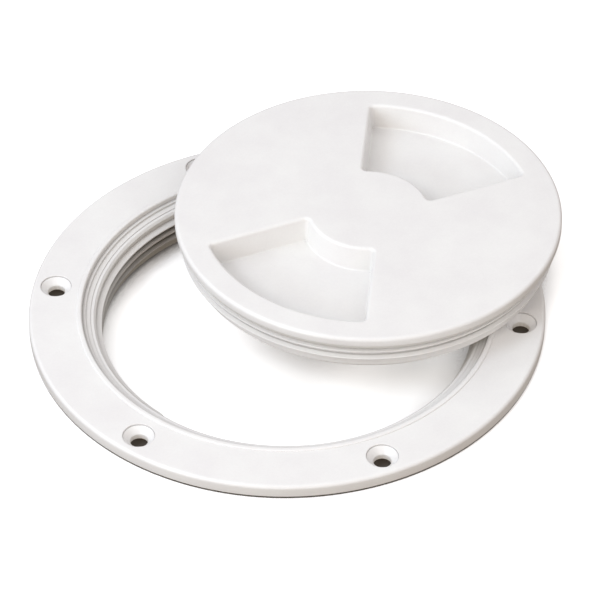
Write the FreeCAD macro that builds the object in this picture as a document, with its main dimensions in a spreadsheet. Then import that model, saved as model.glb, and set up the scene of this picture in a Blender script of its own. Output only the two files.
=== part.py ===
import FreeCAD, Part
import math
import os

import Sketcher

# Screw-out deck inspection plate, 6 inch class, with its lid unscrewed and laid on the ring.
# Millimetres. The deck surface is the plane z = 0 and the ring's axis is the z axis:
# the flange lies on the deck above z = 0 and the threaded collar hangs below it.

# Driving dimensions. Every radius is built outwards or inwards from the ring's threaded bore.
SIZES = {
    # Ring: threaded bore, collar and flange.
    "bore_radius": 76.4,
    "collar_wall": 3.0,
    "collar_reach": 14.4,
    "collar_foot_chamfer": 0.6,
    "flange_width": 19.0,
    "flange_thickness": 5.2,
    "flange_edge_radius": 1.5,
    "flange_foot_radius": 0.4,
    # Ring: the lid's seat, two steps up from it, and the raised lip round the mouth.
    "seat_chamfer": 0.9,
    "seat_width": 2.1,
    "seat_step": 0.3,
    "band_width": 1.7,
    "band_rise": 0.5,
    "second_step_draft": 0.2,
    "second_step_rise": 1.0,
    "first_step_rounding": 0.3,
    "first_step_width": 1.4,
    "first_step_depth": 1.5,
    "lip_width": 2.2,
    "lip_rise": 0.6,
    "lip_outer_rounding": 0.5,
    "lip_inner_rounding": 0.8,
    # Screw holes: countersunk for 6 mm flat-head screws.
    "screw_hole_radius": 3.6,
    "countersink_radius": 6.5,
    "countersink_step": 0.4,
    "screw_count": 6,
    "ring_turn": -7.5,
    # Thread: one right-hand ridge in the ring and its twin on the lid.
    "thread_depth": 2.3,
    "thread_pitch": 3.6,
    "thread_crest_width": 0.6,
    "thread_short_flank": 0.35,
    "thread_long_flank": 1.8,
    "thread_embed": 0.5,
    "thread_clearance": 0.5,
    "ring_thread_lift": 4.0,
    "ring_thread_gap": 0.2,
    "ring_thread_start": 117.5,
    "lid_thread_gap": 0.2,
    "lid_thread_start": 102.5,
    # Lid: round cap with a rim, and a hollow threaded plug below it.
    "rim_clearance": 0.5,
    "lid_height": 20.0,
    "rim_thickness": 3.8,
    "rim_edge_radius": 1.5,
    "rim_foot_radius": 0.4,
    "plate_thickness": 3.4,
    "plug_wall": 4.0,
    "plug_foot_chamfer": 2.8,
    "plug_corner_radius": 1.2,
    "nose_length": 4.6,
    # Lid: two opposed finger recesses, each with its own moulded bowl underneath.
    "recess_margin": 6.6,
    "hub_radius": 24.5,
    "recess_side_offset": 4.5,
    "recess_half_angle": 31.0,
    "recess_depth": 11.0,
    "recess_draft": 5.0,
    "recess_corner_radius": 2.0,
    "recess_edge_radius": 1.4,
    "recess_floor_radius": 0.8,
    "bowl_wall": 2.6,
    # Seal: round-section ring, stretched over the plug up against the rim.
    "seal_section_radius": 1.5,
    "seal_clearance": 0.05,
    # Where the loose lid lies on the ring.
    "lid_shift_x": 33.0,
    "lid_shift_y": 34.0,
    "lid_turn": 53.0,
}

# Places that follow from the dimensions above. Ring heights are measured from the deck,
# lid heights from the plug's foot.
PLACES = {
    "collar_radius": "=bore_radius + collar_wall",
    "collar_foot": "=-collar_reach",
    "seat_inner_radius": "=bore_radius + seat_chamfer",
    "seat_radius": "=bore_radius + seat_width",
    "second_step_radius": "=seat_radius + band_width",
    "first_step_radius": "=second_step_radius + second_step_draft",
    "mouth_radius": "=first_step_radius + first_step_width",
    "lip_radius": "=mouth_radius + lip_width",
    "flange_radius": "=lip_radius + flange_width",
    "flange_top": "=flange_thickness",
    "lip_top": "=flange_top + lip_rise",
    "lip_outer_fillet": "=min(lip_outer_rounding; 0.85 * lip_rise)",
    "first_step_height": "=flange_top - first_step_depth",
    "second_step_height": "=first_step_height - second_step_rise",
    "band_height": "=second_step_height - band_rise",
    "seat_height": "=band_height - seat_step",
    "seat_edge_height": "=seat_height - seat_chamfer",
    "screw_circle_radius": "=lip_radius + flange_width / 2",
    "hole_wall": "=screw_circle_radius + screw_hole_radius",
    "countersink_wall": "=screw_circle_radius + countersink_radius",
    "countersink_head": "=flange_top - countersink_step",
    "countersink_floor": "=countersink_head - countersink_radius + screw_hole_radius",
    "drill_top": "=lip_top + 1",
    "drill_foot": "=-flange_thickness",
    "thread_crest_radius": "=bore_radius - thread_depth",
    "thread_wall_radius": "=bore_radius + thread_embed",
    "thread_root_width": "=thread_crest_width + thread_short_flank + thread_long_flank",
    "ridge_foot": "=collar_foot + ring_thread_lift",
    "ridge_crest_foot": "=ridge_foot + thread_short_flank",
    "ridge_crest_top": "=ridge_crest_foot + thread_crest_width",
    "ridge_top": "=ridge_foot + thread_root_width",
    "ridge_climb": "=seat_edge_height - ring_thread_gap - ridge_top",
    "lid_radius": "=seat_radius - rim_clearance",
    "plug_core_radius": "=thread_crest_radius - thread_clearance",
    "plug_inner_radius": "=plug_core_radius - plug_wall",
    "rim_underside": "=lid_height - rim_thickness",
    "plate_underside": "=lid_height - plate_thickness",
    "lid_crest_radius": "=plug_core_radius + thread_depth",
    "lid_wall_radius": "=plug_core_radius - thread_embed",
    "lid_ridge_crest_foot": "=nose_length + thread_long_flank",
    "lid_ridge_crest_top": "=lid_ridge_crest_foot + thread_crest_width",
    "lid_ridge_top": "=nose_length + thread_root_width",
    "seal_underside": "=rim_underside - seal_clearance - 2 * seal_section_radius",
    "lid_ridge_climb": "=seal_underside - lid_thread_gap - lid_ridge_top",
    "recess_outer_radius": "=plug_core_radius - recess_margin",
    "bowl_outer_radius": "=plug_core_radius - plug_wall / 2",
    "bowl_inner_radius": "=hub_radius - bowl_wall",
    "bowl_side_offset": "=recess_side_offset + bowl_wall",
    "bowl_depth": "=recess_depth + bowl_wall - plate_thickness",
    "recess_floor": "=lid_height - recess_depth",
    "seal_circle_radius": "=plug_core_radius + seal_clearance + seal_section_radius",
    "seal_height": "=lip_top + rim_underside - seal_clearance - seal_section_radius",
}

DOC = FreeCAD.newDocument("deck_plate")
SHEET = DOC.addObject("Spreadsheet::Sheet", "Sizes")
UP = FreeCAD.Vector(0, 0, 1)
SKETCH_UP = FreeCAD.Vector(0, 1, 0)
CENTRE = FreeCAD.Vector(0, 0, 0)


def fill_sheet():
    """Write every dimension and every derived place into the sheet under its own name."""
    for row, (name, value) in enumerate({**SIZES, **PLACES}.items(), 1):
        SHEET.set(f"A{row}", name)
        SHEET.set(f"B{row}", str(value))
        SHEET.setAlias(f"B{row}", name)
    DOC.recompute()


def size(name):
    """The sheet's present value for a named dimension or place."""
    return float(SHEET.get(name))


def bind(item, path, name):
    """Let a property of a feature follow a formula over the sheet's names."""
    item.setExpression(path, f"Sizes.{name}")


def new_body(label):
    """An empty body, named as the piece that it becomes."""
    body = DOC.addObject("PartDesign::Body", label)
    body.Label = label
    return body


def sketch_on(body, name, plane):
    """An empty sketch on one of the body's own origin planes."""
    sketch = body.newObject("Sketcher::SketchObject", name)
    support = next(item for item in body.Origin.OriginFeatures if item.Role == plane)
    sketch.AttachmentSupport = (support, [""])
    sketch.MapMode = "FlatFace"
    return sketch


def driven(sketch, kind, where, name, value):
    """Add one dimension to a sketch and let it follow the sheet."""
    index = sketch.addConstraint(Sketcher.Constraint(kind, *where, value))
    bind(sketch, f"Constraints[{index}]", name)


def draw_outline(sketch, corners):
    """Draw a closed outline through corners named (distance from the axis, height).

    None in place of a name puts that corner on the sketch's own axis.
    """
    spots = [
        FreeCAD.Vector(size(across) if across else 0, size(height) if height else 0, 0)
        for across, height in corners
    ]
    count = len(corners)
    for index in range(count):
        line = Part.LineSegment(spots[index], spots[(index + 1) % count])
        sketch.addGeometry(line, False)
    for index in range(count):
        sketch.addConstraint(Sketcher.Constraint("Coincident", index, 2, (index + 1) % count, 1))
    for index, (across, height) in enumerate(corners):
        if across:
            driven(sketch, "DistanceX", (-1, 1, index, 1), across, spots[index].x)
        else:
            sketch.addConstraint(Sketcher.Constraint("PointOnObject", index, 1, -2))
        if height:
            driven(sketch, "DistanceY", (-1, 1, index, 1), height, spots[index].y)
        else:
            sketch.addConstraint(Sketcher.Constraint("PointOnObject", index, 1, -1))


def turned(body, name, corners):
    """Turn an outline a full turn round the body's z axis."""
    sketch = sketch_on(body, name + "_outline", "XZ_Plane")
    draw_outline(sketch, corners)
    solid = body.newObject("PartDesign::Revolution", name)
    solid.Profile = sketch
    solid.ReferenceAxis = (sketch, ["V_Axis"])
    solid.Angle = 360
    DOC.recompute()
    return solid


def ridge(body, name, corners, climb, start):
    """Wind an outline up the z axis as one right-hand thread ridge, from a stated angle."""
    sketch = sketch_on(body, name + "_outline", "XZ_Plane")
    sketch.AttachmentOffset = FreeCAD.Placement(CENTRE, FreeCAD.Rotation(SKETCH_UP, 1))
    bind(sketch, "AttachmentOffset.Rotation.Angle", start)
    draw_outline(sketch, corners)
    thread = body.newObject("PartDesign::AdditiveHelix", name)
    thread.Profile = sketch
    thread.ReferenceAxis = (sketch, ["V_Axis"])
    thread.Mode = 0
    bind(thread, "Pitch", "thread_pitch")
    bind(thread, "Height", climb)
    thread.Angle = 0
    thread.LeftHanded = False
    thread.Reversed = False
    DOC.recompute()
    return thread


def circles(feature, radius, height):
    """Names of the feature's round edges about the z axis with this radius and height."""
    names = []
    for number, edge in enumerate(feature.Shape.Edges, 1):
        curve = edge.Curve
        if curve.TypeId != "Part::GeomCircle":
            continue
        centre = FreeCAD.Vector(0, 0, size(height) if height else 0)
        if abs(curve.Radius - size(radius)) < 0.01 and curve.Center.distanceToPoint(centre) < 0.01:
            names.append(f"Edge{number}")
    return names


def rounded(body, name, feature, edges, radius):
    """Round the named edges of a feature."""
    fillet = body.newObject("PartDesign::Fillet", name)
    fillet.Base = (feature, edges)
    bind(fillet, "Radius", radius)
    DOC.recompute()
    return fillet


def chamfered(body, name, feature, edges, width):
    """Cut the named edges of a feature at 45 degrees."""
    chamfer = body.newObject("PartDesign::Chamfer", name)
    chamfer.Base = (feature, edges)
    bind(chamfer, "Size", width)
    DOC.recompute()
    return chamfer


def repeated(body, name, feature, count):
    """Repeat a feature evenly round the body's z axis."""
    pattern = body.newObject("PartDesign::PolarPattern", name)
    pattern.Originals = [feature]
    axis = next(item for item in body.Origin.OriginFeatures if item.Role == "Z_Axis")
    pattern.Axis = (axis, [""])
    pattern.Angle = 360
    if isinstance(count, str):
        bind(pattern, "Occurrences", count)
    else:
        pattern.Occurrences = count
    body.Tip = pattern
    DOC.recompute()
    return pattern


def build_ring():
    """The screwed-down ring: flange, lip, steps, screw holes, collar and inner thread."""
    body = new_body("deck_ring")
    solid = turned(body, "ring_turning", [
        ("bore_radius", "collar_foot"),
        ("collar_radius", "collar_foot"),
        ("collar_radius", None),
        ("flange_radius", None),
        ("flange_radius", "flange_top"),
        ("lip_radius", "flange_top"),
        ("lip_radius", "lip_top"),
        ("mouth_radius", "lip_top"),
        ("mouth_radius", "first_step_height"),
        ("first_step_radius", "first_step_height"),
        ("second_step_radius", "second_step_height"),
        ("seat_radius", "band_height"),
        ("seat_radius", "seat_height"),
        ("seat_inner_radius", "seat_height"),
        ("bore_radius", "seat_edge_height"),
    ])
    for name, radius, height, rounding in (
        ("flange_edge", "flange_radius", "flange_top", "flange_edge_radius"),
        ("flange_foot", "flange_radius", None, "flange_foot_radius"),
        ("lip_outside", "lip_radius", "lip_top", "lip_outer_fillet"),
        ("lip_inside", "mouth_radius", "lip_top", "lip_inner_rounding"),
        ("first_step_edge", "first_step_radius", "first_step_height", "first_step_rounding"),
    ):
        solid = rounded(body, name, solid, circles(solid, radius, height), rounding)
    foot = circles(solid, "collar_radius", "collar_foot")
    solid = chamfered(body, "collar_foot_edge", solid, foot, "collar_foot_chamfer")

    sketch = sketch_on(body, "screw_hole_outline", "XZ_Plane")
    draw_outline(sketch, [
        ("screw_circle_radius", "drill_foot"),
        ("hole_wall", "drill_foot"),
        ("hole_wall", "countersink_floor"),
        ("countersink_wall", "countersink_head"),
        ("countersink_wall", "drill_top"),
        ("screw_circle_radius", "drill_top"),
    ])
    foot_point = FreeCAD.Vector(size("screw_circle_radius"), size("drill_foot"), 0)
    top_point = FreeCAD.Vector(size("screw_circle_radius"), size("drill_top"), 0)
    axis = sketch.addGeometry(Part.LineSegment(foot_point, top_point), True)
    sketch.addConstraint(Sketcher.Constraint("Coincident", axis, 1, 0, 1))
    sketch.addConstraint(Sketcher.Constraint("Coincident", axis, 2, 5, 1))
    hole = body.newObject("PartDesign::Groove", "screw_hole")
    hole.Profile = sketch
    hole.ReferenceAxis = (sketch, ["Axis0"])
    hole.Angle = 360
    DOC.recompute()
    repeated(body, "screw_holes", hole, "screw_count")

    body.Tip = ridge(body, "ring_thread", [
        ("thread_wall_radius", "ridge_foot"),
        ("bore_radius", "ridge_foot"),
        ("thread_crest_radius", "ridge_crest_foot"),
        ("thread_crest_radius", "ridge_crest_top"),
        ("bore_radius", "ridge_top"),
        ("thread_wall_radius", "ridge_top"),
    ], "ridge_climb", "ring_thread_start")
    body.Placement = FreeCAD.Placement(CENTRE, FreeCAD.Rotation(UP, 1))
    bind(body, "Placement.Rotation.Angle", "ring_turn")
    return body


def sector_sketch(body, name, height, outer, inner, offset):
    """A sector outline round the z axis at one height, its middle on the x axis."""
    sketch = sketch_on(body, name, "XY_Plane")
    bind(sketch, "AttachmentOffset.Base.z", height)
    angle = math.radians(size("recess_half_angle"))
    along = FreeCAD.Vector(math.cos(angle), math.sin(angle), 0)
    beside = FreeCAD.Vector(-math.sin(angle), math.cos(angle), 0) * size(offset)
    ends = {}
    for key in (outer, inner):
        ends[key] = beside + along * math.sqrt(size(key) ** 2 - size(offset) ** 2)
        half_turn = math.atan2(ends[key].y, ends[key].x)
        circle = Part.Circle(CENTRE, UP, size(key))
        sketch.addGeometry(Part.ArcOfCircle(circle, -half_turn, half_turn), False)
    for side in (1, -1):
        near = FreeCAD.Vector(ends[inner].x, side * ends[inner].y, 0)
        far = FreeCAD.Vector(ends[outer].x, side * ends[outer].y, 0)
        sketch.addGeometry(Part.LineSegment(near, far), False)
    for arc in (0, 1):
        sketch.addConstraint(Sketcher.Constraint("Coincident", arc, 3, -1, 1))
    for line, line_end, arc, arc_end in ((2, 2, 0, 2), (2, 1, 1, 2), (3, 2, 0, 1), (3, 1, 1, 1)):
        sketch.addConstraint(Sketcher.Constraint("Coincident", line, line_end, arc, arc_end))
    driven(sketch, "Radius", (0,), outer, size(outer))
    driven(sketch, "Radius", (1,), inner, size(inner))
    driven(sketch, "Distance", (-1, 1, 2), offset, size(offset))
    driven(sketch, "Distance", (-1, 1, 3), offset, size(offset))
    driven(sketch, "Angle", (2,), "recess_half_angle", angle)
    driven(sketch, "Angle", (3,), "recess_half_angle * -1", -angle)
    return sketch


def wall_corners(feature):
    """Names of the slanting edges where two recess walls meet, from the floor to the top."""
    names = []
    for number, edge in enumerate(feature.Shape.Edges, 1):
        heights = sorted(point.Z for point in edge.Vertexes)
        reach = min(math.hypot(point.X, point.Y) for point in edge.Vertexes)
        if len(heights) == 2 and reach < size("plug_inner_radius"):
            from_floor = abs(heights[0] - size("recess_floor")) < 0.01
            if from_floor and abs(heights[1] - size("lid_height")) < 0.01:
                names.append(f"Edge{number}")
    return names


def level_edges(feature, height):
    """Names of the recess edges that lie wholly at one height."""
    names = []
    for number, edge in enumerate(feature.Shape.Edges, 1):
        box = edge.BoundBox
        reach = max(math.hypot(point.X, point.Y) for point in edge.Vertexes)
        if abs(box.ZMin - height) < 0.02 and abs(box.ZMax - height) < 0.02:
            if reach < size("plug_inner_radius"):
                names.append(f"Edge{number}")
    return names


def build_lid():
    """The screw-out lid: capped plug with its rim, outer thread and two finger recesses."""
    body = new_body("lid")
    solid = turned(body, "lid_turning", [
        (None, "plate_underside"),
        ("plug_inner_radius", "plate_underside"),
        ("plug_inner_radius", None),
        ("plug_core_radius", None),
        ("plug_core_radius", "rim_underside"),
        ("lid_radius", "rim_underside"),
        ("lid_radius", "lid_height"),
        (None, "lid_height"),
    ])
    for name, radius, height, rounding in (
        ("rim_edge", "lid_radius", "lid_height", "rim_edge_radius"),
        ("rim_foot", "lid_radius", "rim_underside", "rim_foot_radius"),
        ("plug_corner", "plug_inner_radius", "plate_underside", "plug_corner_radius"),
    ):
        solid = rounded(body, name, solid, circles(solid, radius, height), rounding)
    foot = circles(solid, "plug_core_radius", None)
    solid = chamfered(body, "plug_foot_edge", solid, foot, "plug_foot_chamfer")

    bowl = body.newObject("PartDesign::Pad", "bowl")
    bowl.Profile = sector_sketch(
        body, "bowl_outline", "plate_underside",
        "bowl_outer_radius", "bowl_inner_radius", "bowl_side_offset",
    )
    bowl.Reversed = True
    bind(bowl, "Length", "bowl_depth")
    bind(bowl, "TaperAngle", "recess_draft * -1")
    DOC.recompute()
    repeated(body, "bowls", bowl, 2)

    recess = body.newObject("PartDesign::Pocket", "recess")
    recess.Profile = sector_sketch(
        body, "recess_outline", "lid_height",
        "recess_outer_radius", "hub_radius", "recess_side_offset",
    )
    bind(recess, "Length", "recess_depth")
    bind(recess, "TaperAngle", "recess_draft * -1")
    DOC.recompute()
    solid = repeated(body, "recesses", recess, 2)

    solid = rounded(body, "recess_corners", solid, wall_corners(solid), "recess_corner_radius")
    solid = rounded(
        body, "recess_floor_edges", solid, level_edges(solid, size("recess_floor")),
        "recess_floor_radius",
    )
    solid = rounded(
        body, "recess_top_edges", solid, level_edges(solid, size("lid_height")), "recess_edge_radius"
    )

    body.Tip = ridge(body, "lid_thread", [
        ("lid_wall_radius", "nose_length"),
        ("plug_core_radius", "nose_length"),
        ("lid_crest_radius", "lid_ridge_crest_foot"),
        ("lid_crest_radius", "lid_ridge_crest_top"),
        ("plug_core_radius", "lid_ridge_top"),
        ("lid_wall_radius", "lid_ridge_top"),
    ], "lid_ridge_climb", "lid_thread_start")
    body.Placement = FreeCAD.Placement(CENTRE, FreeCAD.Rotation(UP, 1))
    bind(body, "Placement.Base.x", "lid_shift_x")
    bind(body, "Placement.Base.y", "lid_shift_y")
    bind(body, "Placement.Base.z", "lip_top")
    bind(body, "Placement.Rotation.Angle", "lid_turn")
    return body


def build_seal():
    """The round-section sealing ring under the lid's rim."""
    ring = DOC.addObject("Part::Torus", "seal_ring")
    ring.Label = "seal_ring"
    bind(ring, "Radius1", "seal_circle_radius")
    bind(ring, "Radius2", "seal_section_radius")
    bind(ring, "Placement.Base.x", "lid_shift_x")
    bind(ring, "Placement.Base.y", "lid_shift_y")
    bind(ring, "Placement.Base.z", "seal_height")
    return ring


def check_and_export(pieces):
    """Stop on any fault in the document, then write one file per piece."""
    DOC.recompute()
    for item in DOC.Objects:
        if "Invalid" in item.State or "Error" in item.State:
            raise ValueError(f"{item.Label} did not compute: {item.State}")
    for piece in pieces:
        shape = piece.Shape
        if shape.isNull() or not shape.isValid() or len(shape.Solids) != 1:
            raise ValueError(f"{piece.Label} is not one valid solid")
        shape.exportStep(f"parts/{piece.Label}.step")


os.makedirs("parts", exist_ok=True)
fill_sheet()
check_and_export([build_ring(), build_lid(), build_seal()])
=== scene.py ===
"""Screw-out deck inspection plate: a white moulded ring, with its lid unscrewed and laid on it."""

import logging
import math
from collections.abc import Iterable, Sequence
from dataclasses import dataclass, field
from enum import Enum

import bmesh
import bpy
from mathutils import Matrix, Vector


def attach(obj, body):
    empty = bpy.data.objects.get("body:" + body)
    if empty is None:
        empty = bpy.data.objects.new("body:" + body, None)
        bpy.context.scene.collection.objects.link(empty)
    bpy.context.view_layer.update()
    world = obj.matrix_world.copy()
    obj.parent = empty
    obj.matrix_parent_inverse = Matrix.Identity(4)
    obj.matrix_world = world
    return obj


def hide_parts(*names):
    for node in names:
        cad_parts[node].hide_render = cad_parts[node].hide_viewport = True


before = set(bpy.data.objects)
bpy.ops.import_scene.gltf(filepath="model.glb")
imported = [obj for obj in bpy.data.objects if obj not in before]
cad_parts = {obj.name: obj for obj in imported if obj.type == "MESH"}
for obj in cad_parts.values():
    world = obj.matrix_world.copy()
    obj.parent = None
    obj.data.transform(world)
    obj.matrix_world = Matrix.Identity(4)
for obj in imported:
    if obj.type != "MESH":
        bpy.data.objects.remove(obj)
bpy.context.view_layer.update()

LOG = logging.getLogger("deck_plate")
MM = 0.001
WELD_DISTANCE = 2e-6
FLAT_TOLERANCE = 0.01
SHARP_ANGLE = math.radians(34.0)
COLUMNS = 420
HOLE_COLUMNS = 72
FLOOR_COLUMNS = 96
SECTION_ROWS = 16
THREAD_SLOT = 1
# Colour of the painted shade in grooves, corners and the bore.
GAP_SHADE_COLOUR = "#3F362E"

Point2 = tuple[float, float]
Corner = tuple[float, float, float]
Material = bpy.types.Material
Mesh = bpy.types.Mesh
Node = bpy.types.Node
Object = bpy.types.Object
Socket = bpy.types.NodeSocket
Tree = bpy.types.NodeTree


# Shared tools


def srgb(code: str) -> tuple[float, float, float, float]:
    """Turn a hex sRGB colour into Blender's linear colour.

    Args:
        code: the colour as six hex digits after a hash.

    Returns:
        Linear red, green, blue and an alpha of one.
    """
    channels = [int(code[place : place + 2], 16) / 255 for place in (1, 3, 5)]
    linear = [c / 12.92 if c <= 0.04045 else ((c + 0.055) / 1.055) ** 2.4 for c in channels]
    return (linear[0], linear[1], linear[2], 1.0)


def add_node(
    tree: Tree,
    kind: str,
    inputs: dict[int | str, object] | None = None,
    **settings: object,
) -> Node:
    """Add one node with its settings, values and links.

    Args:
        tree: the node tree that gets the node.
        kind: the node's type.
        inputs: for each input, by name or number, its value, or the socket that feeds it, or
            the node whose first output does.
        **settings: the node's own properties.

    Returns:
        The new node.
    """
    node = tree.nodes.new(kind)
    for name, value in settings.items():
        setattr(node, name, value)
    for name, value in (inputs or {}).items():
        source = value.outputs[0] if isinstance(value, Node) else value
        if isinstance(source, Socket):
            tree.links.new(source, node.inputs[name])
        else:
            node.inputs[name].default_value = source
    return node


def rounded(corners: Sequence[Corner], segments: int = 5) -> list[Point2]:
    """Replace each corner of an open path by an arc.

    Args:
        corners: across, height and rounding radius of each corner.
        segments: the straight pieces in each arc.

    Returns:
        The path's points in order.
    """
    path: list[Point2] = []
    for place, (across, height, radius) in enumerate(corners):
        if radius <= 0 or place in (0, len(corners) - 1):
            path.append((across, height))
            continue
        corner = Vector((across, height))
        before = (Vector(corners[place - 1][:2]) - corner).normalized()
        after = (Vector(corners[place + 1][:2]) - corner).normalized()
        half = before.angle(after) / 2
        centre = corner + (before + after).normalized() * radius / math.sin(half)
        first = corner + before * radius / math.tan(half) - centre
        last = corner + after * radius / math.tan(half) - centre
        turn = first.angle_signed(last)
        for step in range(segments + 1):
            spoke = Matrix.Rotation(-turn * step / segments, 2) @ first
            path.append((centre.x + spoke.x, centre.y + spoke.y))
    return path


def rows_mesh(name: str, rows: Sequence[Sequence[Vector]]) -> Mesh:
    """Join closed rows of points, each to the next, with four-sided faces.

    Args:
        name: the mesh's name.
        rows: the rows in order, all with the same number of points.

    Returns:
        The open mesh.
    """
    count = len(rows[0])
    faces = []
    for level in range(len(rows) - 1):
        for step in range(count):
            near = level * count + step
            beside = level * count + (step + 1) % count
            faces.append((near, beside, beside + count, near + count))
    mesh = bpy.data.meshes.new(name)
    mesh.from_pydata([point for row in rows for point in row], [], faces)
    return mesh


def turned(name: str, path: Iterable[Point2], count: int = COLUMNS) -> Mesh:
    """Turn a path in millimetres round the z axis.

    Args:
        name: the mesh's name.
        path: distance from the axis and height of each point.
        count: the points in each round row.

    Returns:
        The open mesh, in metres.
    """
    angles = [2 * math.pi * step / count for step in range(count)]
    rows = [[Vector((r * math.cos(a), r * math.sin(a), z)) * MM for a in angles] for r, z in path]
    return rows_mesh(name, rows)


def welded(
    name: str,
    parts: Sequence[Mesh],
    flats: Sequence[float] = (),
    open_below: float | None = None,
) -> Mesh:
    """Merge meshes along their shared edges and close the flat openings between them.

    Args:
        name: the name of the new mesh.
        parts: the meshes, which are used up.
        flats: heights in millimetres at which open edges border a flat face.
        open_below: height in millimetres at which the faces of a flat end are taken out.

    Returns:
        The merged mesh, its faces pointing out of the solid.
    """
    shell = bmesh.new()
    for part in parts:
        shell.from_mesh(part)
    bmesh.ops.remove_doubles(shell, verts=shell.verts, dist=WELD_DISTANCE)
    for height in flats:
        level = height * MM
        rim = [
            edge
            for edge in shell.edges
            if edge.is_boundary and all(abs(v.co.z - level) < WELD_DISTANCE for v in edge.verts)
        ]
        bmesh.ops.triangle_fill(shell, edges=rim, use_beauty=True)
    bmesh.ops.recalc_face_normals(shell, faces=shell.faces)
    if open_below is not None:
        level = (open_below + FLAT_TOLERANCE) * MM
        ends = [face for face in shell.faces if all(v.co.z < level for v in face.verts)]
        bmesh.ops.delete(shell, geom=ends, context="FACES")
    open_edges = sum(1 for edge in shell.edges if not edge.is_manifold)
    mesh = bpy.data.meshes.new(name)
    shell.to_mesh(mesh)
    shell.free()
    for part in parts:
        bpy.data.meshes.remove(part)
    LOG.info("%s: %d faces, %d open edges", name, len(mesh.polygons), open_edges)
    return mesh


def new_object(name: str, data: bpy.types.ID) -> Object:
    """Put a new object into the scene, at the origin.

    Args:
        name: its name.
        data: its mesh, lamp or camera.

    Returns:
        The object.
    """
    made = bpy.data.objects.new(name, data)
    bpy.context.scene.collection.objects.link(made)
    return made


def worked(mesh: Mesh, modifiers: Sequence[dict[str, object]]) -> Mesh:
    """Run modifiers over a mesh and give the plain result.

    Args:
        mesh: the mesh to start from, which is used up.
        modifiers: for each modifier its type, and its properties and inputs by name.

    Returns:
        The new mesh.
    """
    carrier = new_object("carrier", mesh)
    for wanted in modifiers:
        modifier = carrier.modifiers.new("work", wanted["type"])
        for name, value in wanted.get("settings", {}).items():
            setattr(modifier, name, value)
        for socket, value in wanted.get("inputs", {}).items():
            modifier[socket] = value
    evaluated = carrier.evaluated_get(bpy.context.evaluated_depsgraph_get())
    result = bpy.data.meshes.new_from_object(evaluated)
    carrier.modifiers.clear()
    bpy.data.objects.remove(carrier)
    bpy.data.meshes.remove(mesh)
    result.polygons.foreach_set("material_index", [0] * len(result.polygons))
    return result


def as_thread(mesh: Mesh, below: float) -> Mesh:
    """Give a mesh's faces up to a height the material number of the threads.

    Args:
        mesh: the mesh to mark, in metres.
        below: the height in millimetres that the faces' middles lie under.

    Returns:
        The same mesh.
    """
    for face in mesh.polygons:
        face.material_index = THREAD_SLOT if face.center.z < below * MM else 0
    return mesh


def smooth(mesh: Mesh) -> None:
    """Shade a mesh smoothly, apart from its real edges."""
    mesh.shade_smooth()
    mesh.set_sharp_from_angle(angle=SHARP_ANGLE)


# Geometry node trees


class NodeShape:
    """A geometry node tree with named inputs, run on a mesh."""

    def __init__(self, name: str, inputs: dict[str, object]) -> None:
        """Make the tree and its inputs.

        Args:
            name: the tree's name.
            inputs: each input's name and value, whose kind sets the input's kind.
        """
        self.tree = bpy.data.node_groups.new(name, "GeometryNodeTree")
        face = self.tree.interface
        face.new_socket("Geometry", in_out="INPUT", socket_type="NodeSocketGeometry")
        self.values = dict(inputs)
        self.identifiers: dict[str, str] = {}
        kinds = {int: "NodeSocketInt", float: "NodeSocketFloat", Material: "NodeSocketMaterial"}
        for label, value in inputs.items():
            socket = face.new_socket(label, in_out="INPUT", socket_type=kinds[type(value)])
            self.identifiers[label] = socket.identifier
        face.new_socket("Geometry", in_out="OUTPUT", socket_type="NodeSocketGeometry")
        self.start = add_node(self.tree, "NodeGroupInput")

    def take(self, name: str) -> Socket:
        """The socket that carries a named input."""
        return self.start.outputs[name]

    def end(self, shape: Node) -> None:
        """Close the tree: plain geometry in the material of the input.

        Args:
            shape: the node that gives the finished geometry.
        """
        real = add_node(self.tree, "GeometryNodeRealizeInstances", {0: shape})
        dressed = {"Geometry": real, "Material": self.take("Material")}
        done = add_node(self.tree, "GeometryNodeSetMaterial", dressed)
        add_node(self.tree, "NodeGroupOutput", {0: done})

    def made_from(self, mesh: Mesh) -> Mesh:
        """Run the tree on a mesh and give the plain result.

        Args:
            mesh: the mesh that goes in, which is used up.

        Returns:
            The new mesh.
        """
        inputs = {self.identifiers[label]: value for label, value in self.values.items()}
        step = {"type": "NODES", "settings": {"node_group": self.tree}, "inputs": inputs}
        return worked(mesh, [step])


def repeated_round(mesh: Mesh, count: int, start: float, material: Material) -> Mesh:
    """Repeat a mesh evenly round the z axis.

    Args:
        mesh: the mesh in its place beside the axis, used up.
        count: how many there are in a full turn.
        start: the first one's turn about the axis, in radians.
        material: the finish of all of them.

    Returns:
        One mesh that holds them all.
    """
    shape = NodeShape("repeated_round", {"Count": count, "Start": start, "Material": material})
    tree = shape.tree
    spots = add_node(tree, "GeometryNodePoints", {"Count": shape.take("Count")})
    index = add_node(tree, "GeometryNodeInputIndex")
    terms = {0: 2 * math.pi, 1: shape.take("Count")}
    share = add_node(tree, "ShaderNodeMath", terms, operation="DIVIDE")
    terms = {0: index, 1: share, 2: shape.take("Start")}
    turn = add_node(tree, "ShaderNodeMath", terms, operation="MULTIPLY_ADD")
    angles = add_node(tree, "ShaderNodeCombineXYZ", {"Z": turn})
    copies = {"Points": spots, "Instance": shape.take("Geometry"), "Rotation": angles}
    shape.end(add_node(tree, "GeometryNodeInstanceOnPoints", copies))
    return shape.made_from(mesh)


class ThreadSide(Enum):
    """Which way a thread ridge stands from the wall that carries it."""

    INWARD = -1
    OUTWARD = 1


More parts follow.
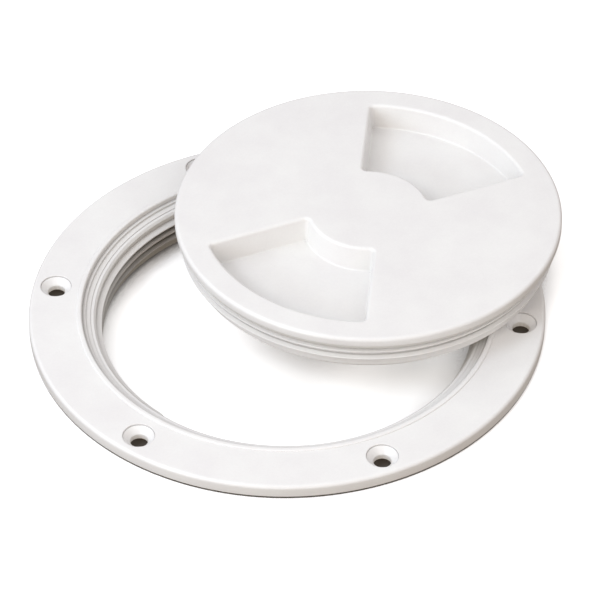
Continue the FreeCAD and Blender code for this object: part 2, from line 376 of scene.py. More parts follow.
@dataclass(frozen=True)
class Ridge:
    """Section of the thread ridge, in millimetres, and how its ends run out."""

    pitch: float = 3.6
    depth: float = 2.3
    crest: float = 0.6
    short_flank: float = 0.35
    long_flank: float = 1.8
    foot_rounding: float = 0.1
    crest_rounding: float = 0.22
    run_out: float = 0.02

    def width(self) -> float:
        """The ridge's width at its foot."""
        return self.short_flank + self.crest + self.long_flank

    def section(self, side: ThreadSide) -> list[Point2]:
        """The section's outline over one pitch, both ways as a share of one.

        Args:
            side: the ring's ridge has its short flank below, the lid's above.

        Returns:
            Share of the pitch and share of the depth at each row.
        """
        flat = (self.pitch - self.width()) / 2
        first = self.short_flank if side is ThreadSide.INWARD else self.long_flank
        crest_from = flat + first
        corners = [
            (0.0, 0.0, 0.0),
            (flat, 0.0, self.foot_rounding),
            (crest_from, self.depth, self.crest_rounding),
            (crest_from + self.crest, self.depth, self.crest_rounding),
            (flat + self.width(), 0.0, self.foot_rounding),
            (self.pitch, 0.0, 0.0),
        ]
        path = rounded(corners, segments=3)
        # The last rounding gives up its end, so that the rows fill SECTION_ROWS steps.
        del path[-2]
        return [(along / self.pitch, out / self.depth) for along, out in path]


@dataclass(frozen=True)
class ThreadBand:
    """A round wall with one right-hand thread ridge, in millimetres and turns."""

    side: ThreadSide
    root_radius: float
    bottom: float
    top: float
    ridge_foot: float
    start_turn: float
    turns: float
    ridge: Ridge = field(default_factory=Ridge)

    def inputs(self, material: Material) -> dict[str, object]:
        """Work out what the node tree is given.

        Args:
            material: the finish.

        Returns:
            The value of each named input.
        """
        ridge = self.ridge
        foot = self.ridge_foot - (ridge.pitch - ridge.width()) / 2
        first = math.floor((self.bottom - foot) / ridge.pitch + self.start_turn - 1)
        last = math.ceil((self.top - foot) / ridge.pitch + self.start_turn)
        return {
            "Columns": COLUMNS + 1,
            "Rows": (last - first) * SECTION_ROWS + 1,
            "Row turns": float(last - first),
            "First turn": float(first),
            "Start turn": self.start_turn,
            "Turns": self.turns,
            "Run out": ridge.run_out,
            "Root radius": self.root_radius * MM,
            "Depth": self.side.value * ridge.depth * MM,
            "Pitch": ridge.pitch * MM,
            "Foot": foot * MM,
            "Bottom": self.bottom * MM,
            "Top": self.top * MM,
            "Weld": WELD_DISTANCE,
            "Material": material,
        }

    def section_curves(self, tree: Tree, share: Node) -> list[Node]:
        """Draw the ridge's section as two curves over the rows of one pitch.

        Args:
            tree: the node tree that gets them.
            share: how far round the rows of its pitch each point is.

        Returns:
            The curve of the height and the curve of the depth, both as a share of one.
        """
        curves = []
        for values in zip(*self.ridge.section(self.side)):
            curve = add_node(tree, "ShaderNodeFloatCurve", {"Value": share})
            points = curve.mapping.curves[0].points
            for row in range(1, SECTION_ROWS):
                points.new(row / SECTION_ROWS, values[row])
            for row, value in enumerate(values):
                points[row].location = (row / SECTION_ROWS, value)
                points[row].handle_type = "VECTOR"
            curve.mapping.update()
            curves.append(curve)
        return curves

    def fade(self, shape: NodeShape, since: Node) -> Node:
        """Let the ridge rise at its start and run out at its end.

        Args:
            shape: the node tree with its inputs.
            since: the turns from the ridge's start to each point.

        Returns:
            The share of the ridge that stands at each point.
        """
        tree = shape.tree
        terms = {0: shape.take("Turns"), 1: since}
        left = add_node(tree, "ShaderNodeMath", terms, operation="SUBTRACT")
        ends = {}
        for place, way in enumerate((since, left)):
            limits = {"Value": way, "From Max": shape.take("Run out")}
            ends[place] = add_node(
                tree, "ShaderNodeMapRange", limits, interpolation_type="SMOOTHSTEP"
            )
        return add_node(tree, "ShaderNodeMath", ends, operation="MULTIPLY")

    def mesh(self, material: Material) -> Mesh:
        """Bend a flat grid into the wall and raise its ridge along the helix.

        Args:
            material: the finish.

        Returns:
            The open mesh between the wall's bottom and top.
        """
        shape = NodeShape("thread_band", self.inputs(material))
        tree = shape.tree
        side, middle = 1.0, 0.5
        points = {"Vertices X": shape.take("Columns"), "Vertices Y": shape.take("Rows")}
        grid = add_node(tree, "GeometryNodeMeshGrid", {"Size X": side, "Size Y": side, **points})
        position = add_node(tree, "GeometryNodeInputPosition")
        split = add_node(tree, "ShaderNodeSeparateXYZ", {0: position})
        round_share = add_node(tree, "ShaderNodeMath", {0: split.outputs["X"], 1: middle})
        up_share = add_node(tree, "ShaderNodeMath", {0: split.outputs["Y"], 1: middle})
        terms = {0: up_share, 1: shape.take("Row turns"), 2: shape.take("First turn")}
        cell_and_share = add_node(tree, "ShaderNodeMath", terms, operation="MULTIPLY_ADD")
        cell = add_node(tree, "ShaderNodeMath", {0: cell_and_share}, operation="FLOOR")
        share = add_node(tree, "ShaderNodeMath", {0: cell_and_share}, operation="FRACT")
        rise, stand = self.section_curves(tree, share)
        turn = add_node(tree, "ShaderNodeMath", {0: cell, 1: round_share})
        terms = {0: turn, 1: shape.take("Start turn")}
        since = add_node(tree, "ShaderNodeMath", terms, operation="SUBTRACT")
        climbed = add_node(tree, "ShaderNodeMath", {0: since, 1: rise})
        terms = {0: climbed, 1: shape.take("Pitch"), 2: shape.take("Foot")}
        height = add_node(tree, "ShaderNodeMath", terms, operation="MULTIPLY_ADD")
        limits = {"Min": shape.take("Bottom"), "Max": shape.take("Top")}
        level = add_node(tree, "ShaderNodeClamp", {"Value": height, **limits})
        fade = self.fade(shape, since)
        raised = add_node(tree, "ShaderNodeMath", {0: fade, 1: stand}, operation="MULTIPLY")
        terms = {0: raised, 1: shape.take("Depth"), 2: shape.take("Root radius")}
        radius = add_node(tree, "ShaderNodeMath", terms, operation="MULTIPLY_ADD")
        terms = {0: round_share, 1: 2 * math.pi}
        angle = add_node(tree, "ShaderNodeMath", terms, operation="MULTIPLY")
        place = {"Z": level}
        for axis, operation in (("X", "COSINE"), ("Y", "SINE")):
            ratio = add_node(tree, "ShaderNodeMath", {0: angle}, operation=operation)
            terms = {0: ratio, 1: radius}
            place[axis] = add_node(tree, "ShaderNodeMath", terms, operation="MULTIPLY")
        bent = add_node(tree, "ShaderNodeCombineXYZ", place)
        wall = add_node(tree, "GeometryNodeSetPosition", {"Geometry": grid, "Position": bent})
        seam = {"Geometry": wall, "Distance": shape.take("Weld")}
        shape.end(add_node(tree, "GeometryNodeMergeByDistance", seam))
        return shape.made_from(bpy.data.meshes.new("thread"))


# Finishes


class Ramp(Enum):
    """How a shade sets in."""

    EVEN = "LINEAR"
    SOFT = "SMOOTHSTEP"


@dataclass(frozen=True)
class Shade:
    """Painted shade, where a surface is closed in. Start and full are shares of open sky."""

    colour: str
    reach: float
    start: float
    full: float
    ramp: Ramp = Ramp.EVEN
    own_only: bool = True
    samples: int = 8

    def share(self, tree: Tree) -> Node:
        """Find how much painted shade each spot gets.

        Args:
            tree: the material's node tree.

        Returns:
            The share of the shade's colour.
        """
        opening = add_node(
            tree,
            "ShaderNodeAmbientOcclusion",
            {"Distance": self.reach},
            samples=self.samples,
            only_local=self.own_only,
        )
        limits = {"Value": opening.outputs["AO"], "From Min": self.start, "From Max": self.full}
        return add_node(tree, "ShaderNodeMapRange", limits, interpolation_type=self.ramp.value)


@dataclass(frozen=True)
class Finish:
    """A finish of one even colour and roughness."""

    name: str
    colour: str
    roughness: float

    def look(self, tree: Tree) -> dict[str, object]:
        """Say what the surface shader is given.

        Args:
            tree: the material's node tree.

        Returns:
            The value of each of the shader's inputs, or what feeds it.
        """
        return {"Base Color": srgb(self.colour), "Roughness": self.roughness}

    def material(self) -> Material:
        """Build the node material.

        Returns:
            The material.
        """
        material = bpy.data.materials.new(self.name)
        material.use_nodes = True
        tree = material.node_tree
        tree.nodes.clear()
        shader = add_node(tree, "ShaderNodeBsdfPrincipled", self.look(tree))
        add_node(tree, "ShaderNodeOutputMaterial", {"Surface": shader})
        return material


@dataclass(frozen=True)
class MouldedAbs(Finish):
    """White ABS, injection moulded in a finely eroded mould.

    The eye sees a neutral white with a broad soft sheen: faint clouds from the flow of the melt,
    faint specks, and painted shade, a darker tone where the surface is closed in.
    """

    name: str = "abs_moulded_white"
    colour: str = "#E7E6E3"
    deep_colour: str = "#E2E0DE"
    roughness: float = 0.42
    roughness_spread: float = 0.05
    ior: float = 1.54
    flow_size: float = 18.0 * MM
    flow_from: float = 0.3
    flow_to: float = 0.7
    # The mould's grain is some hundredths of a millimetre wide, too fine to show, so the grain
    # is drawn about ten times as coarse and the specks twice as coarse again.
    grain_size: float = 0.45 * MM
    grain_height: float = 0.004 * MM
    grain_strength: float = 0.6
    speck_size: float = 0.9 * MM
    speck_colour: str = "#F9F9F9"
    # Painted shade: narrow grooves and corners get a darker, warmer colour where little
    # open sky reaches them.
    gap: Shade = Shade(GAP_SHADE_COLOUR, reach=1.9 * MM, start=0.64, full=0.25)
    # Painted shade that deepens between two heights, so the bore is darker towards the
    # bottom. Plain faces have none.
    depth_shade: float = 0.0
    depth_shade_top: float = -1.0 * MM
    depth_shade_foot: float = -9.0 * MM

    def plain(self, tree: Tree, place: Socket) -> Socket:
        """Mix the plastic's clouds and specks.

        Args:
            tree: the material's node tree.
            place: the spot's place on the object.

        Returns:
            The colour.
        """
        flow = add_node(
            tree,
            "ShaderNodeTexNoise",
            {"Vector": place, "Scale": 1 / self.flow_size, "Detail": 3.0, "Roughness": 0.55},
        )
        clouds = add_node(tree, "ShaderNodeValToRGB", {"Fac": flow})
        ends = ((self.flow_from, self.deep_colour), (self.flow_to, self.colour))
        for stop, (position, colour) in zip(clouds.color_ramp.elements, ends):
            stop.position = position
            stop.color = srgb(colour)
        grid = {"Vector": place, "Scale": 1 / self.speck_size}
        speck = add_node(tree, "ShaderNodeTexNoise", grid)
        colours = {"Factor": speck, 6: clouds, 7: srgb(self.speck_colour)}
        mix = add_node(tree, "ShaderNodeMix", colours, data_type="RGBA", blend_type="MULTIPLY")
        return mix.outputs[2]

    def look(self, tree: Tree) -> dict[str, object]:
        """Say what the surface shader is given.

        Args:
            tree: the material's node tree.

        Returns:
            What feeds each of the shader's inputs, or its value.
        """
        place = add_node(tree, "ShaderNodeTexCoord").outputs["Object"]
        height = add_node(tree, "ShaderNodeSeparateXYZ", {0: place}).outputs["Z"]
        limits = {"From Min": self.depth_shade_top, "From Max": self.depth_shade_foot, "To Max": self.depth_shade}
        depth_shade = add_node(tree, "ShaderNodeMapRange", {"Value": height, **limits})
        # Painted shade: the stronger of the shade in gaps and the shade that grows with depth.
        tones = {0: self.gap.share(tree), 1: depth_shade}
        painted_shade = add_node(tree, "ShaderNodeMath", tones, operation="MAXIMUM")
        colours = {"Factor": painted_shade, 6: self.plain(tree, place), 7: srgb(self.gap.colour)}
        grain = add_node(
            tree,
            "ShaderNodeTexNoise",
            {"Vector": place, "Scale": 1 / self.grain_size, "Detail": 2.0, "Roughness": 0.6},
        )
        low, high = self.roughness - self.roughness_spread, self.roughness + self.roughness_spread
        bump = {"Height": grain, "Distance": self.grain_height, "Strength": self.grain_strength}
        return {
            "Base Color": add_node(tree, "ShaderNodeMix", colours, data_type="RGBA").outputs[2],
            "Roughness": add_node(
                tree, "ShaderNodeMapRange", {"Value": grain, "To Min": low, "To Max": high}
            ),
            "IOR": self.ior,
            "Normal": add_node(tree, "ShaderNodeBump", bump),
        }


@dataclass(frozen=True)
class SiliconeRubber(Finish):
    """Pale silicone rubber, moulded in a round section: matt, a little dusty to the eye."""

    name: str = "silicone_moulded_pale"
    colour: str = "#D9D8D3"
    deep_colour: str = "#CFCDC8"
    roughness: float = 0.6
    ior: float = 1.43
    dust_size: float = 3.0 * MM
    dust_height: float = 0.006 * MM
    dust_strength: float = 0.5

    def look(self, tree: Tree) -> dict[str, object]:
        """Say what the surface shader is given.

        Args:
            tree: the material's node tree.

        Returns:
            What feeds each of the shader's inputs, or its value.
        """
        place = add_node(tree, "ShaderNodeTexCoord").outputs["Object"]
        dust = add_node(
            tree,
            "ShaderNodeTexNoise",
            {"Vector": place, "Scale": 1 / self.dust_size, "Detail": 4.0, "Roughness": 0.6},
        )
        colours = {"Factor": dust, 6: srgb(self.deep_colour), 7: srgb(self.colour)}
        bump = {"Height": dust, "Distance": self.dust_height, "Strength": self.dust_strength}
        return {
            "Base Color": add_node(tree, "ShaderNodeMix", colours, data_type="RGBA").outputs[2],
            "Roughness": self.roughness,
            "IOR": self.ior,
            "Normal": add_node(tree, "ShaderNodeBump", bump),
        }


@dataclass(frozen=True)
class StudioPaper(Finish):
    """White diffuser sheet of a lit table: dead matt, with a weak glow of its own.

    The eye sees an even white, with a painted shadow that turns it grey close under the plate.
    """

    name: str = "studio_sheet_white"
    colour: str = "#FBFBFB"
    roughness: float = 0.9
    glow: float = 0.5
    # Painted shadow: colour and glow darken where the plate closes the floor in.
    under: Shade = Shade(
        "#4A4542", reach=40.0 * MM, start=0.62, full=0.2, ramp=Ramp.SOFT, own_only=False
    )

    def look(self, tree: Tree) -> dict[str, object]:
        """Say what the surface shader is given.

        Args:
            tree: the material's node tree.

        Returns:
            What feeds each of the shader's inputs, or its value.
        """
        share = self.under.share(tree)
        colours = {"Factor": share, 6: srgb(self.colour), 7: srgb(self.under.colour)}
        colour = add_node(tree, "ShaderNodeMix", colours, data_type="RGBA").outputs[2]
        return {
            "Base Color": colour,
            "Roughness": self.roughness,
            "Emission Color": colour,
            "Emission Strength": self.glow,
        }


@dataclass(frozen=True)
class StudioBoard(Finish):
    """Dark grey board under the flange, dead matt: painted shade, so that the screw holes look into
    a dark gap.
    """

    name: str = "studio_board_painted_shade"
    # Painted shade: the board's dark grey stands in for the shade under the flange.
    colour: str = "#5E5954"
    roughness: float = 0.9


# The plate's pieces


def placed(name: str, mesh: Mesh, node: str, finishes: Sequence[Material]) -> Object:
    """Put a finished mesh into the scene in place of its solid.

    Args:
        name: the piece's name.
        mesh: its mesh, in its place.
        node: the solid that it stands for.
        finishes: its materials, in the order of its faces' numbers.

    Returns:
        The piece.
    """
    smooth(mesh)
    for finish in finishes:
        mesh.materials.append(finish)
    piece = new_object(name, mesh)
    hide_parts(node)
    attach(piece, "root")
    return piece


@dataclass(frozen=True)
class DeckRing:
    """The ring that is screwed to the deck. Millimetres above the deck and from the ring's axis."""

    bore: float = 76.4
    collar: float = 79.4
    collar_foot: float = -14.4
    foot_chamfer: float = 0.6
    margin: float = 0.1
    seat_edge: float = 1.0
    seat: float = 1.9
    seat_inner: float = 77.3
    seat_outer: float = 78.5
    band_low: float = 2.2
    band_high: float = 2.7
    band_outer: float = 80.2
    first_step: float = 3.7
    first_step_radius: float = 80.4
    mouth: float = 81.8
    lip_top: float = 5.8
    lip: float = 84.0
    flange_top: float = 5.2
    flange: float = 103.0
    border: float = 0.35
    edge_rounding: float = 1.5
    underside_rounding: float = 0.4
    lip_inner_rounding: float = 0.8
    lip_outer_rounding: float = 0.5
    lip_foot_rounding: float = 0.08
    step_rounding: float = 0.3
    seat_rounding: float = 0.12
    corner_rounding: float = 0.15
    screw_circle: float = 93.5
    screw_hole: float = 3.5
    countersink: float = 6.25
    countersink_step: float = 0.6
    countersink_ledge: float = 0.35
    countersink_rounding: float = 0.16
    ledge_rounding: float = 0.06
    cone_rounding: float = 0.18
    hole_margin: float = 0.2
    screw_count: int = 6
    screw_turn: float = math.radians(-7.5)
    thread_foot: float = -10.4
    thread_from: float = 110.0 / 360
    thread_climb: float = 8.45
    thread_flank: float = 0.8

    def outer_wall(self) -> Mesh:
        """The flange's rounded outer edge, with a narrow border of its two flats.

        Returns:
            The open mesh.
        """
        top, edge = self.flange_top, self.flange
        corners = [
            (edge - self.edge_rounding - self.border, top, 0.0),
            (edge, top, self.edge_rounding),
            (edge, 0.0, self.underside_rounding),
            (edge - self.underside_rounding - self.border, 0.0, 0.0),
        ]
        return turned("flange_edge", rounded(corners, segments=8))

    def collar_wall(self) -> Mesh:
        """The collar's outside, from the flange's underside down to its foot and the bore.

        Returns:
            The open mesh.
        """
        foot = self.collar_foot
        corners = [
            (self.collar + self.underside_rounding + self.border, 0.0, 0.0),
            (self.collar, 0.0, self.step_rounding),
            (self.collar, foot + self.foot_chamfer, self.corner_rounding),
            (self.collar - self.foot_chamfer, foot, self.corner_rounding),
            (self.bore, foot, self.margin),
            (self.bore, foot + self.margin, 0.0),
        ]
        return turned("collar", rounded(corners, segments=3))

    def mouth_wall(self) -> Mesh:
        """The lid's seat, the two steps above it and the raised lip round the mouth.

        Returns:
            The open mesh.
        """
        corners = [
            (self.bore, self.seat_edge - self.margin, 0.0),
            (self.bore, self.seat_edge, self.corner_rounding),
            (self.seat_inner, self.seat, self.corner_rounding),
            (self.seat_outer, self.seat, self.seat_rounding),
            (self.seat_outer, self.band_low, self.corner_rounding),
            (self.band_outer, self.band_high, self.corner_rounding),
            (self.first_step_radius, self.first_step, self.step_rounding),
            (self.mouth, self.first_step, self.corner_rounding),
            (self.mouth, self.lip_top, self.lip_inner_rounding),
            (self.lip, self.lip_top, self.lip_outer_rounding),
            (self.lip, self.flange_top, self.lip_foot_rounding),
            (self.lip + self.margin + self.border, self.flange_top, 0.0),
        ]
        return turned("mouth", rounded(corners))

    def thread(self, finish: Material) -> Mesh:
        """The bore with its inner thread.

        Args:
            finish: the ring's material.

        Returns:
            The open mesh.
        """
        band = ThreadBand(
            side=ThreadSide.INWARD,
            root_radius=self.bore,
            bottom=self.collar_foot + self.margin,
            top=self.seat_edge - self.margin,
            ridge_foot=self.thread_foot,
            start_turn=self.thread_from,
            turns=self.thread_climb / Ridge().pitch,
            ridge=Ridge(long_flank=self.thread_flank),
        )
        return as_thread(band.mesh(finish), self.seat_edge)

    def screw_holes(self, finish: Material) -> Mesh:
        """The walls of the countersunk holes, each with a narrow border of the flats.

        Args:
            finish: the ring's material.

        Returns:
            One open mesh with all the holes' walls.
        """
        cone_top = self.flange_top - self.countersink_step
        cone_radius = self.countersink - self.countersink_ledge
        corners = [
            (self.countersink + self.hole_margin + self.border, self.flange_top, 0.0),
            (self.countersink, self.flange_top, self.countersink_rounding),
            (self.countersink, cone_top, self.ledge_rounding),
            (cone_radius, cone_top, self.margin),
            (self.screw_hole, cone_top - cone_radius + self.screw_hole, self.cone_rounding),
            (self.screw_hole, 0.0, self.corner_rounding),
            (self.screw_hole + self.hole_margin + self.border, 0.0, 0.0),
        ]
        wall = turned("screw_hole", rounded(corners, segments=4), HOLE_COLUMNS)
        wall.transform(Matrix.Translation((self.screw_circle * MM, 0, 0)))
        return repeated_round(wall, self.screw_count, self.screw_turn, finish)

    def build(self, finish: Material, thread_finish: Material) -> Object:
        """Make the ring as one closed mesh.

        Args:
            finish: its material.
            thread_finish: the same plastic with stronger painted shade, for the thread, steps and
                screw holes.

        Returns:
            The piece.
        """
        parts = [
            self.outer_wall(),
            self.collar_wall(),
            as_thread(self.mouth_wall(), self.first_step + 2 * self.margin),
            self.thread(thread_finish),
            as_thread(self.screw_holes(finish), self.flange_top - self.margin),
        ]
        mesh = welded("deck_ring_moulding", parts, flats=(self.flange_top, 0.0))
        finishes = (finish, thread_finish)
        return placed("deck_ring_moulding", mesh, "deck_ring", finishes)


@dataclass(frozen=True)
class Sector:
    """Outline of a finger recess or its bowl, in millimetres, its middle on the x axis."""

    outer: float
    hub: float
    offset: float
    half_angle: float = math.radians(31.0)
    corner: float = 2.0
    rim_steps: int = 36
    corner_steps: int = 10
    side_steps: int = 12
    hub_steps: int = 16

    def outline(self) -> list[tuple[Vector, Vector]]:
        """Run round the outline: rim arc, rounded corner, straight side, corner and hub arc.

        Returns:
            The points, each with its direction outwards.
        """
        along = Vector((math.cos(self.half_angle), math.sin(self.half_angle)))
        beside = Vector((-along.y, along.x))
        inset = self.offset - self.corner
        centres = []
        for reach in (self.outer - self.corner, self.hub + self.corner):
            centres.append(beside * inset + along * math.sqrt(reach**2 - inset**2))
        half: list[tuple[Vector, Vector]] = []
        rim_turn = math.atan2(centres[0].y, centres[0].x)
        for step in range(self.rim_steps + 1):
            angle = rim_turn * step / self.rim_steps
            spoke = Vector((math.cos(angle), math.sin(angle)))
            half.append((spoke * self.outer, spoke))
        hub_way = -centres[1].normalized()
        for centre, first, last in (
            (centres[0], centres[0].normalized(), beside),
            (centres[1], beside, hub_way),
        ):
            turn = first.angle_signed(last)
            for step in range(1, self.corner_steps + 1):
                spoke = Matrix.Rotation(-turn * step / self.corner_steps, 2) @ first
                half.append((centre + spoke * self.corner, spoke))
            if centre is centres[0]:
                start = half[-1][0]
                end = centres[1] + beside * self.corner
                for step in range(1, self.side_steps + 1):
                    half.append((start.lerp(end, step / self.side_steps), beside))
        hub_turn = math.atan2(centres[1].y, centres[1].x)
        for step in range(1, self.hub_steps + 1):
            angle = hub_turn * (1 - step / self.hub_steps)
            spoke = Vector((math.cos(angle), math.sin(angle)))
            half.append((spoke * self.hub, -spoke))
        mirrored = [
            (Vector((point.x, -point.y)), Vector((way.x, -way.y))) for point, way in half[-2:0:-1]
        ]
        return half + mirrored

    def wall(self, name: str, path: Iterable[Point2]) -> Mesh:
        """Run a wall round the outline.

        Args:
            name: the mesh's name.
            path: at each row, how far it stands outside the outline, and its height.

        Returns:
            The open mesh, in metres.
        """
        outline = self.outline()
        rows = [
            [((point + way * out).to_3d() + Vector((0, 0, height))) * MM for point, way in outline]
            for out, height in path
        ]
        return rows_mesh(name, rows)


@dataclass(frozen=True)
class Lid:
    """The screw-out lid. Millimetres above the plug's foot and from the lid's axis."""

    height: float = 20.0
    radius: float = 78.0
    rim_underside: float = 16.2
    rim_edge: float = 1.5
    edge_rounding: float = 0.4
    plug: float = 73.6
    plug_inner: float = 69.6
    foot_chamfer: float = 2.8
    nose: float = 4.6
    plate_underside: float = 16.6
    plug_rounding: float = 0.3
    hollow_rounding: float = 1.2
    hollow_border: float = 1.8
    border: float = 0.4
    margin: float = 0.1
    recess: Sector = Sector(outer=67.0, hub=24.5, offset=4.5)
    recess_count: int = 2
    recess_depth: float = 11.0
    recess_edge: float = 1.4
    recess_floor_edge: float = 0.8
    draft: float = math.radians(5.0)
    bowl: Sector = Sector(outer=71.6, hub=21.9, offset=7.1)
    bowl_floor: float = 6.4
    bowl_rounding: float = 1.0
    bowl_border: float = 1.1
    bowl_flare: float = 0.15
    bowl_overlap: float = 1.5
    wall_from: float = 3.8
    wall_to: float = 14.0
    thread_from: float = 155.5 / 360
    thread_climb: float = 5.6
    place: Vector = field(default_factory=lambda: Vector((33.0, 34.0, 5.8)))
    turn: float = math.radians(53.0)

    def rim_wall(self) -> Mesh:
        """The rim, from the border of the top face to the plug above the thread.

        Returns:
            The open mesh.
        """
        corners = [
            (self.radius - self.rim_edge - self.border, self.height, 0.0),
            (self.radius, self.height, self.rim_edge),
            (self.radius, self.rim_underside, self.edge_rounding),
            (self.plug, self.rim_underside, self.plug_rounding),
            (self.plug, self.wall_to, 0.0),
        ]
        return turned("rim", rounded(corners, segments=8))

    def foot_wall(self) -> Mesh:
        """The plug's nose below the thread, and its foot.

        Returns:
            The open mesh.
        """
        corners = [
            (self.plug, self.wall_from, 0.0),
            (self.plug, self.foot_chamfer, self.edge_rounding),
            (self.plug - self.foot_chamfer, 0.0, self.edge_rounding),
            (self.plug_inner, 0.0, self.plug_rounding),
            (self.plug_inner, self.plug_rounding, 0.0),
        ]
        return turned("plug_foot", rounded(corners, segments=4))

    def thread(self, finish: Material) -> Mesh:
        """The plug's wall with its outer thread.

        Args:
            finish: the lid's material.

        Returns:
            The open mesh.
        """
        band = ThreadBand(
            side=ThreadSide.OUTWARD,
            root_radius=self.plug,
            bottom=self.wall_from,
            top=self.wall_to,
            ridge_foot=self.nose,
            start_turn=(self.thread_from - self.turn / (2 * math.pi)) % 1,
            turns=self.thread_climb / Ridge().pitch,
        )
        return band.mesh(finish)

    def recesses(self, finish: Material) -> Mesh:
        """The walls of the two finger recesses, with narrow borders of top and floor.

        Args:
            finish: the lid's material.

        Returns:
            One open mesh with both walls.
        """
        fall = math.tan(self.draft) * self.recess_depth
        floor = self.height - self.recess_depth
        corners = [
            (self.recess_edge + self.border, self.height, 0.0),
            (0.0, self.height, self.recess_edge),
            (-fall, floor, self.recess_floor_edge),
            (-fall - self.recess_floor_edge - self.margin, floor, 0.0),
        ]
        wall = self.recess.wall("recess", rounded(corners, segments=8))
        return repeated_round(wall, self.recess_count, 0.0, finish)

    def hollow(self, finish: Material) -> Mesh:
        """The plug's hollow: a round space less the two bowls that hang into it.

        Args:
            finish: the lid's material.

        Returns:
            The open mesh.
        """
        low, high = self.plug_rounding, self.plate_underside
        corners = [
            (self.plug_inner, low, 0.0),
            (self.plug_inner, high, self.hollow_rounding),
            (self.plug_inner - self.hollow_border, high, 0.0),
        ]
        space = welded("space", [turned("space", rounded(corners))], flats=(low, high))
        fall = math.tan(self.draft) * (high - self.bowl_floor)
        corners = [
            (self.bowl_flare, high + self.bowl_overlap, 0.0),
            (-fall, self.bowl_floor, self.bowl_rounding),
            (-fall - self.bowl_border, self.bowl_floor, 0.0),
        ]
        wall = self.bowl.wall("bowl", rounded(corners))
        bowls = repeated_round(wall, self.recess_count, 0.0, finish)
        bowls = welded("bowls", [bowls], flats=(self.bowl_floor, high + self.bowl_overlap))
        tool = new_object("bowls", bowls)
        cut = {"operation": "DIFFERENCE", "object": tool, "solver": "EXACT"}
        carved = worked(space, [{"type": "BOOLEAN", "settings": cut}])
        bpy.data.objects.remove(tool)
        bpy.data.meshes.remove(bowls)
        return welded("hollow", [carved], open_below=low)

    def build(self, finish: Material) -> Object:
        """Make the lid as one closed mesh and lay it in its place.

        Args:
            finish: its material.

        Returns:
            The piece.
        """
        parts = [
            self.rim_wall(),
            self.foot_wall(),
            self.thread(finish),
            self.recesses(finish),
            self.hollow(finish),
        ]
        floor = self.height - self.recess_depth
        mesh = welded("lid_moulding", parts, flats=(self.height, floor))
        mesh.transform(Matrix.Translation(self.place * MM) @ Matrix.Rotation(self.turn, 4, "Z"))
        return placed("lid_moulding", mesh, "lid", (finish,))


@dataclass(frozen=True)
class SealRing:
    """The round-section ring under the lid's rim. Millimetres."""

    circle: float = 75.15
    circle_points: int = 360
    section: float = 1.5
    section_points: int = 28
    place: Vector = field(default_factory=lambda: Vector((33.0, 34.0, 20.45)))

    def build(self, finish: Material) -> Object:
        """Sweep the section round the ring's circle.

        Args:
            finish: its material.

        Returns:
            The piece.
        """
        inputs = {
            "Ring points": self.circle_points,
            "Section points": self.section_points,
            "Ring radius": self.circle * MM,
            "Section radius": self.section * MM,
            "Material": finish,
        }
        shape = NodeShape("swept_ring", inputs)
        curves = {}
        for use, label in (("Curve", "Ring"), ("Profile Curve", "Section")):
            points, radius = shape.take(f"{label} points"), shape.take(f"{label} radius")
            circle = {"Resolution": points, "Radius": radius}
            curves[use] = add_node(shape.tree, "GeometryNodeCurvePrimitiveCircle", circle)
        shape.end(add_node(shape.tree, "GeometryNodeCurveToMesh", curves))
        mesh = welded("seal", [shape.made_from(bpy.data.meshes.new("seal"))])
        mesh.transform(Matrix.Translation(self.place * MM))
        return placed("seal_moulding", mesh, "seal_ring", (finish,))


# Floor, light and camera


@dataclass(frozen=True)
class SoftLamp:
    """A round diffuser that faces the plate. Angles in degrees, sizes in metres."""

    name: str
    side: float
    height: float
    power: float
    size: float = 0.6
    distance: float = 1.6
    colour: str = "#E3F2FF"

    def hang(self) -> None:
        """Put the lamp into the scene, in its direction from the plate and facing it."""
        lamp = bpy.data.lights.new(self.name, "AREA")
        lamp.shape = "DISK"
        lamp.size = self.size
        lamp.energy = self.power
        lamp.color = srgb(self.colour)[:3]
        holder = new_object(self.name, lamp)
        side, height = math.radians(self.side), math.radians(self.height)
        flat = Vector((math.cos(side), math.sin(side), 0.0)) * math.cos(height)
        holder.location = (flat + Vector((0.0, 0.0, math.sin(height)))) * self.distance
        holder.rotation_euler = (-holder.location).to_track_quat("-Z", "Y").to_euler()


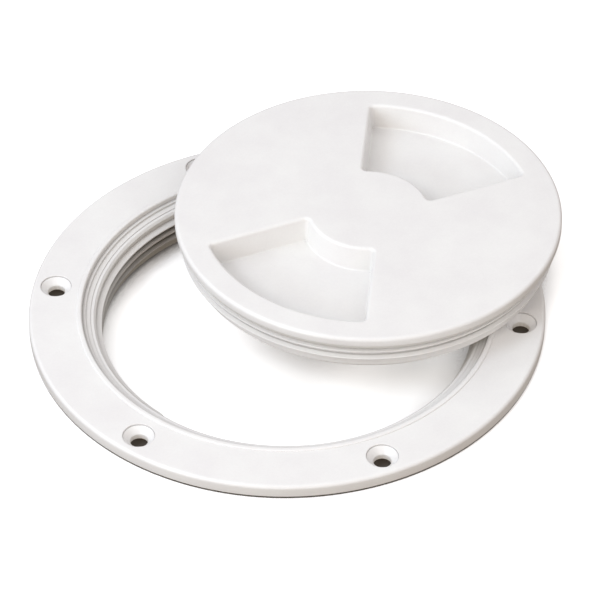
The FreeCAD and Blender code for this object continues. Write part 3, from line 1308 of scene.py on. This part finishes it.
@dataclass(frozen=True)
class Studio:
    """Plain white floor, soft light mostly from the left, and the photograph's viewpoint.

    The plate lies as it does on a deck: the floor has the round cut-out for its collar, which
    stands on the ground below. The floor is in millimetres, and the camera's place in metres.
    """

    floor_height: float = -0.8
    gap_height: float = -3.0
    ground_height: float = -14.4
    flange_shade: float = 102.65
    cut_out: float = 80.0
    floor_size: float = 6000.0
    camera_place: tuple[float, float, float] = (0.00208, -0.94764, 0.85563)
    camera_elevation: float = math.radians(41.836)
    camera_pan: float = math.radians(-0.189)
    camera_roll: float = math.radians(-0.377)
    lens: float = 191.485
    sensor: float = 36.0
    lamps: tuple[SoftLamp, ...] = (
        SoftLamp("left_main", side=210, height=45, power=6.2),
        SoftLamp("left_low", side=225, height=20, power=7.0),
        SoftLamp("left_high", side=180, height=75, power=2.9),
        SoftLamp("left_back", side=165, height=45, power=2.6),
        SoftLamp("front", side=240, height=40, power=3.4, colour="#FFE9D5"),
        SoftLamp("right", side=300, height=45, power=2.9, size=0.9, colour="#F9FFF5"),
        SoftLamp("right_back", side=0, height=45, power=1.4, size=0.9, colour="#CDE6FF"),
        SoftLamp("front_low", side=280, height=20, power=2.6, size=0.9, colour="#FFF6EE"),
        SoftLamp("back", side=60, height=50, power=1.7, size=0.9, colour="#F3FFF8"),
    )
    sky_colour: str = "#FFF5F5"
    low_colour: str = "#B5A794"
    sky_strength: float = 0.60

    def lay(self, name: str, paths: Sequence[Sequence[Point2]], finish: Material) -> None:
        """Lay a round part of the floor, which gives the plate no light of its own.

        Args:
            name: its name.
            paths: distance from the axis and height along each of its surfaces.
            finish: its material.
        """
        mesh = welded(name, [turned(name, path, FLOOR_COLUMNS) for path in paths])
        mesh.materials.append(finish)
        part = new_object(name, mesh)
        part.visible_diffuse = False
        part.visible_glossy = False
        part.visible_shadow = False

    def floor(self) -> None:
        """Lay the lit floor, the ground that the collar stands on, and the dark board of painted
        shade between them.
        """
        edge, wall = self.flange_shade, self.cut_out
        sheets = [
            [(self.floor_size, self.floor_height), (edge, self.floor_height)],
            [(wall, self.ground_height), (0.0, self.ground_height)],
        ]
        board = [
            (edge, self.floor_height),
            (edge, self.gap_height),
            (wall, self.gap_height),
            (wall, self.ground_height),
        ]
        self.lay("floor", sheets, StudioPaper().material())
        self.lay("board", [board], StudioBoard().material())

    def light(self) -> None:
        """Hang the lamps, and set a pale sky over warmer ground all round."""
        for lamp in self.lamps:
            lamp.hang()
        world = bpy.data.worlds.new("studio")
        world.use_nodes = True
        tree = world.node_tree
        tree.nodes.clear()
        way = add_node(tree, "ShaderNodeTexCoord").outputs["Generated"]
        height = add_node(tree, "ShaderNodeSeparateXYZ", {0: way}).outputs["Z"]
        above = add_node(tree, "ShaderNodeMath", {0: height, 1: 0.0}, operation="GREATER_THAN")
        colours = {"Factor": above, 6: srgb(self.low_colour), 7: srgb(self.sky_colour)}
        colour = add_node(tree, "ShaderNodeMix", colours, data_type="RGBA").outputs[2]
        sky = add_node(
            tree, "ShaderNodeBackground", {"Color": colour, "Strength": self.sky_strength}
        )
        add_node(tree, "ShaderNodeOutputWorld", {"Surface": sky})
        bpy.context.scene.world = world
        bpy.context.scene.view_settings.view_transform = "Standard"

    def camera(self) -> None:
        """Set up the camera at the photograph's viewpoint."""
        data = bpy.data.cameras.new("camera")
        data.lens = self.lens
        data.sensor_width = self.sensor
        data.clip_end = 20.0
        camera = new_object("camera", data)
        pan = Matrix.Rotation(self.camera_pan, 4, "Z")
        tilt = Matrix.Rotation(math.pi / 2 - self.camera_elevation, 4, "X")
        roll = Matrix.Rotation(self.camera_roll, 4, "Z")
        camera.matrix_world = Matrix.Translation(self.camera_place) @ pan @ tilt @ roll
        bpy.context.scene.camera = camera


def main() -> None:
    """Build the plate, its floor, its light and the camera."""
    logging.basicConfig(level=logging.INFO, format="%(message)s")
    studio = Studio()
    studio.camera()
    studio.floor()
    studio.light()
    plastic = MouldedAbs().material()
    # The same plastic with stronger painted shade in its grooves, and painted shade that darkens
    # the bore towards its foot.
    thread_shaded = MouldedAbs(
        name="abs_moulded_white_shaded",
        gap=Shade(GAP_SHADE_COLOUR, reach=3.2 * MM, start=0.88, full=0.36),
        depth_shade=0.45,
    ).material()
    pieces = [
        DeckRing().build(plastic, thread_shaded),
        Lid().build(plastic),
        SealRing().build(SiliconeRubber().material()),
    ]
    for piece in pieces:
        LOG.info("made %s", piece.name)


if __name__ == "__main__":
    main()
